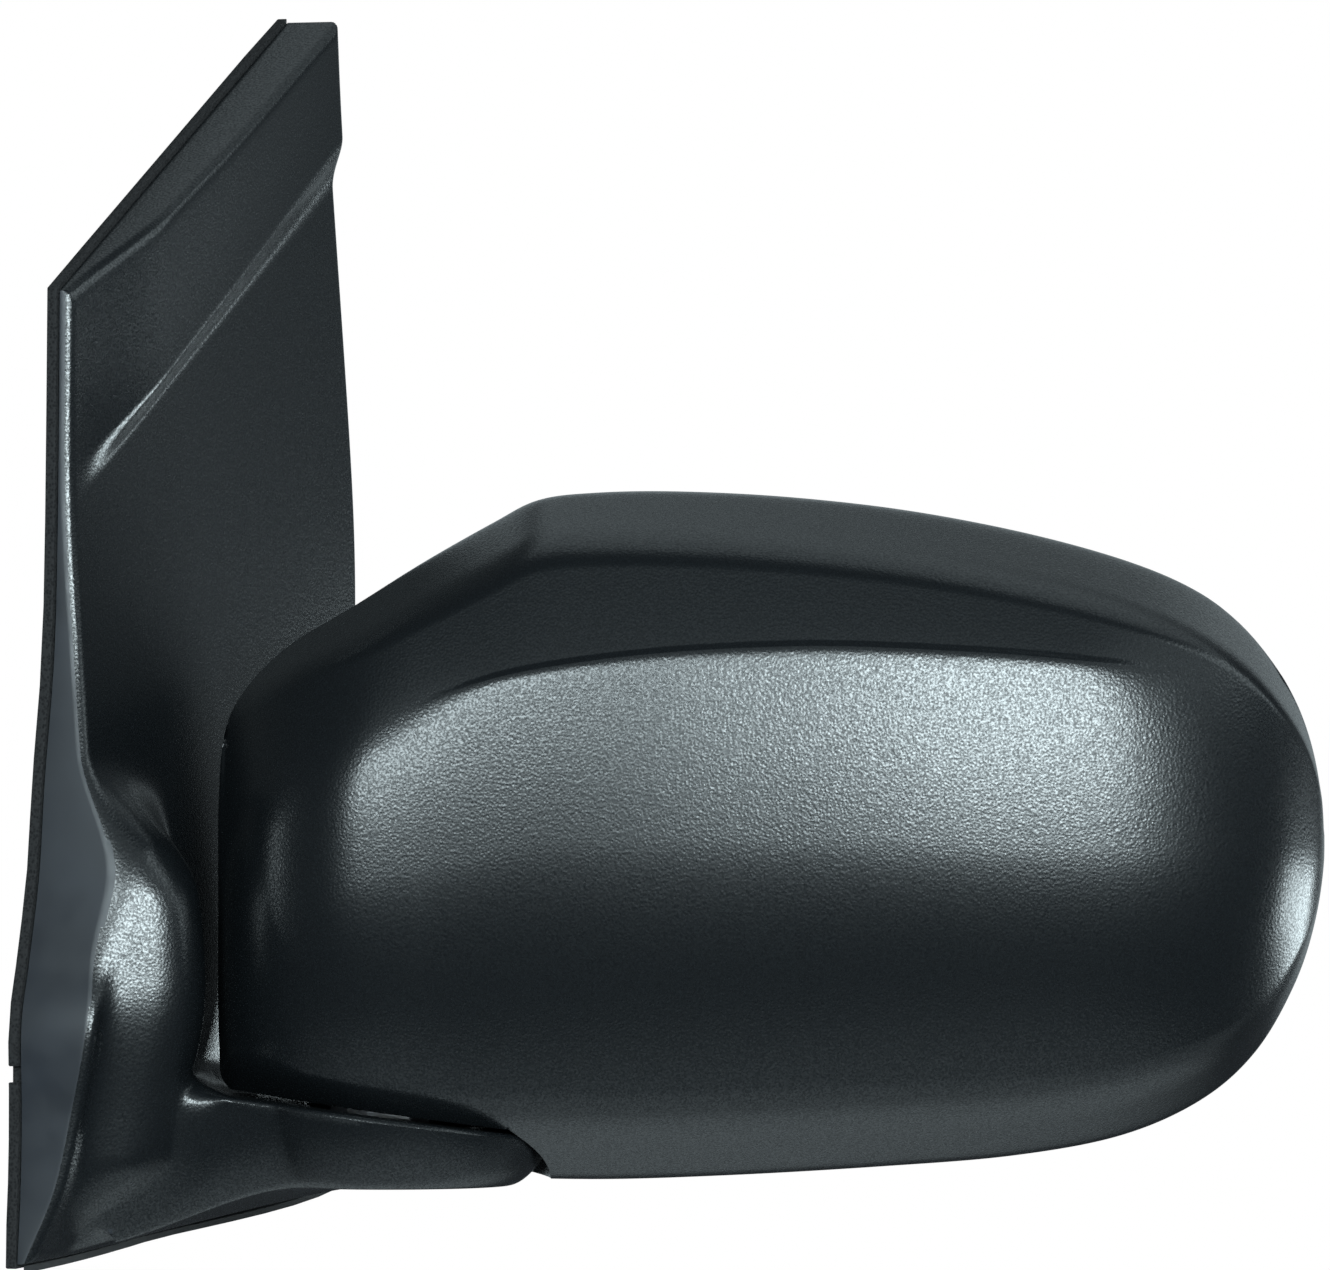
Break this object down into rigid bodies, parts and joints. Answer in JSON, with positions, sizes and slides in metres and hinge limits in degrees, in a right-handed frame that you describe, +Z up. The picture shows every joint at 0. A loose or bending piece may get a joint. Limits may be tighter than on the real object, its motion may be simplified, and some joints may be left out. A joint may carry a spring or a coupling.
{
  "type": "car side mirror",
  "caption": "Exterior side mirror: triangular sail cover bolted to the door, folding textured head on a sprung pivot and a motor-aimed glass.",
  "frame": {"origin": "on the mounting face of the die-cast bracket, where it meets the door, near the middle of the sail", "axes": "+X outboard from the door, +Y towards the rear of the car, +Z up; the mirror is a left-hand one"},
  "size_m": [0.2755, 0.1755, 0.2789],
  "materials": {
    "textured_black_plastic": "fine stippled grain",
    "smooth_black_plastic": "smooth satin",
    "grey_nylon": "moulded",
    "white_acetal": "moulded",
    "black_rubber": "moulded",
    "black_foam": "closed-cell foam",
    "die_cast_zinc": "as cast",
    "zinc_plated_steel": "zinc plated",
    "spring_steel": "oiled",
    "silvered_glass": "polished",
    "wire_sleeve": "braided sleeve"
  },
  "bodies": {
    "base": {"sail_cover": "textured_black_plastic", "sail_back_plate": "smooth_black_plastic", "base_bracket": "die_cast_zinc", "door_gasket": "black_foam", "bottom_seal": "black_rubber", "mount_stud_1": "zinc_plated_steel", "mount_stud_2": "zinc_plated_steel", "mount_stud_3": "zinc_plated_steel", "cover_screw_1": "zinc_plated_steel", "cover_screw_2": "zinc_plated_steel", "cover_screw_3": "zinc_plated_steel", "pivot_tube": "zinc_plated_steel", "detent_ring_lower": "zinc_plated_steel", "spring_washer": "zinc_plated_steel", "retaining_ring": "spring_steel", "wire_grommet": "black_rubber", "harness_lower": "wire_sleeve"},
    "head": {"head_shell": "textured_black_plastic", "glass_bezel": "smooth_black_plastic", "head_carrier": "grey_nylon", "carrier_screw_1": "zinc_plated_steel", "carrier_screw_2": "zinc_plated_steel", "carrier_screw_3": "zinc_plated_steel", "detent_ring_upper": "zinc_plated_steel", "fold_spring": "spring_steel", "actuator_case_front": "grey_nylon", "actuator_case_rear": "grey_nylon", "actuator_screw_1": "zinc_plated_steel", "actuator_screw_2": "zinc_plated_steel", "actuator_screw_3": "zinc_plated_steel", "motor_tilt": "zinc_plated_steel", "motor_pan": "zinc_plated_steel", "actuator_plug": "white_acetal", "harness_upper": "wire_sleeve"},
    "gimbal": {"gimbal_ring": "white_acetal"},
    "glass": {"glass_holder": "smooth_black_plastic", "glass_pad": "black_foam", "mirror_glass": "silvered_glass"},
    "tilt_screw": {"tilt_jackscrew": "white_acetal"},
    "pan_screw": {"pan_jackscrew": "white_acetal"},
    "tilt_gear": {"tilt_wheel": "white_acetal"},
    "pan_gear": {"pan_wheel": "white_acetal"},
    "tilt_worm_shaft": {"tilt_worm": "zinc_plated_steel"},
    "pan_worm_shaft": {"pan_worm": "zinc_plated_steel"}
  },
  "joints": [
    {"name": "head_fold", "type": "hinge", "parent": "base", "child": "head", "pos_m": [0.06307, -0.01031, -0.0555], "axis": [0.1183, 0.0552, 0.9914], "range_deg": [-45, 60]},
    {"name": "glass_pan", "type": "hinge", "parent": "head", "child": "gimbal", "pos_m": [0.13836, 0.03693, 0.005], "axis": [0, 0, 1], "range_deg": [-7, 7]},
    {"name": "glass_tilt", "type": "hinge", "parent": "gimbal", "child": "glass", "pos_m": [0.13836, 0.03693, 0.005], "axis": [0.9063, 0.4226, 0], "range_deg": [-7, 7]},
    {"name": "tilt_screw_slide", "type": "slide", "parent": "head", "child": "tilt_screw", "axis": [-0.4226, 0.9063, 0], "range_m": [-0.00392, 0.00392]},
    {"name": "tilt_gear_turn", "type": "hinge", "parent": "head", "child": "tilt_gear", "pos_m": [0.14723, 0.0179, 0.037], "axis": [-0.4226, 0.9063, 0], "continuous": true},
    {"name": "tilt_worm_turn", "type": "hinge", "parent": "head", "child": "tilt_worm_shaft", "pos_m": [0.16119, 0.02441, 0.032], "axis": [0, 0, 1], "continuous": true},
    {"name": "pan_screw_slide", "type": "slide", "parent": "head", "child": "pan_screw", "axis": [-0.4226, 0.9063, 0], "range_m": [-0.00392, 0.00392]},
    {"name": "pan_gear_turn", "type": "hinge", "parent": "head", "child": "pan_gear", "pos_m": [0.11823, 0.00438, 0.005], "axis": [-0.4226, 0.9063, 0], "continuous": true},
    {"name": "pan_worm_turn", "type": "hinge", "parent": "head", "child": "pan_worm_shaft", "pos_m": [0.12276, 0.00649, -0.0104], "axis": [-0.9063, -0.4226, 0], "continuous": true}
  ],
  "couplings": [
    {"joint": "tilt_screw_slide", "follows": "glass_tilt", "m_per_rad": -0.032},
    {"joint": "tilt_gear_turn", "follows": "glass_tilt", "ratio": 67.021},
    {"joint": "tilt_worm_turn", "follows": "glass_tilt", "ratio": 1206.4},
    {"joint": "pan_screw_slide", "follows": "glass_pan", "m_per_rad": -0.032},
    {"joint": "pan_gear_turn", "follows": "glass_pan", "ratio": 67.021},
    {"joint": "pan_worm_turn", "follows": "glass_pan", "ratio": 1206.4}
  ]
}
